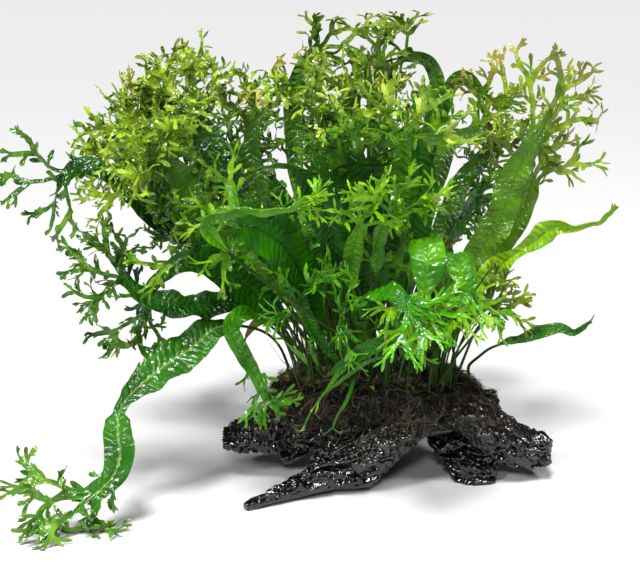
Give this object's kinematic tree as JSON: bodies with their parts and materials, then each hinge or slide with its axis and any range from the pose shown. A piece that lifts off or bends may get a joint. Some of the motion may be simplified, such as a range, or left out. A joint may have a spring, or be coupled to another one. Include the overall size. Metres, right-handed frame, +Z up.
{
  "type": "java fern on driftwood",
  "caption": "Aquarium plant: long strap-shaped green fronds with forked, lacy tips rise from a mat of dark roots on a low, forked piece of driftwood that rests flat.",
  "frame": {"origin": "on the flat under the driftwood's heel, which is on the surface the piece stands on", "axes": "+X to the viewer's right along the longest extent, -Y towards the viewer, +Z up"},
  "size_m": [0.3237, 0.2521, 0.2548],
  "materials": {
    "driftwood": "very dark, wet, ridged along the grain",
    "roots": "dark matted root fibres with a damp sheen",
    "rhizome": "green to brown creeping stem, damp",
    "mature_frond": "mid to dark green, leathery, wet and glossy",
    "young_frond": "lime green, thin, wet and glossy"
  },
  "bodies": {
    "root": {"driftwood_body": "driftwood", "driftwood_left_stub": "driftwood", "driftwood_front_spike": "driftwood", "driftwood_right_leg": "driftwood", "driftwood_right_arm": "driftwood", "root_mat": "roots", "rhizome_front": "rhizome", "rhizome_middle": "rhizome", "rhizome_back": "rhizome", "rhizome_rear": "rhizome", "frond_broad_fold": "mature_frond", "frond_broad_left": "mature_frond", "frond_broad_middle": "mature_frond", "frond_broad_right": "mature_frond", "frond_dark_left": "mature_frond", "frond_far_left": "mature_frond", "frond_hanging_lace": "mature_frond", "frond_hanging_left": "mature_frond", "frond_lime_crest": "young_frond", "frond_long_right": "mature_frond", "frond_low_front": "young_frond", "frond_low_left": "mature_frond", "frond_low_right": "mature_frond", "frond_near_strap": "mature_frond", "frond_oval": "mature_frond", "frond_rear_1": "mature_frond", "frond_rear_2": "mature_frond", "frond_rear_3": "mature_frond", "frond_rear_4": "mature_frond", "frond_rear_5": "mature_frond", "frond_rear_6": "mature_frond", "frond_right_crest": "mature_frond", "frond_right_curl": "mature_frond", "frond_right_lace": "mature_frond", "frond_right_side": "mature_frond", "frond_right_tall": "mature_frond", "frond_spear": "mature_frond", "frond_star_1": "young_frond", "frond_star_2": "young_frond", "frond_star_3": "young_frond", "frond_star_4": "mature_frond", "frond_top_antler": "mature_frond", "frond_top_arch": "mature_frond", "frond_top_back": "mature_frond", "frond_top_curl": "mature_frond", "frond_top_lace": "mature_frond", "frond_top_slim": "mature_frond", "frond_trailing": "mature_frond", "frond_upper_left_1": "mature_frond", "frond_upper_left_2": "mature_frond", "frond_upper_left_3": "mature_frond", "frond_upper_left_4": "mature_frond", "frond_upper_left_5": "mature_frond", "frond_upper_left_6": "mature_frond", "frond_upper_left_7": "mature_frond", "frond_young_arch_1": "young_frond", "frond_young_arch_2": "young_frond", "frond_young_leaf_1": "young_frond", "frond_young_leaf_2": "young_frond", "frond_young_low": "young_frond"}
  },
  "joints": []
}
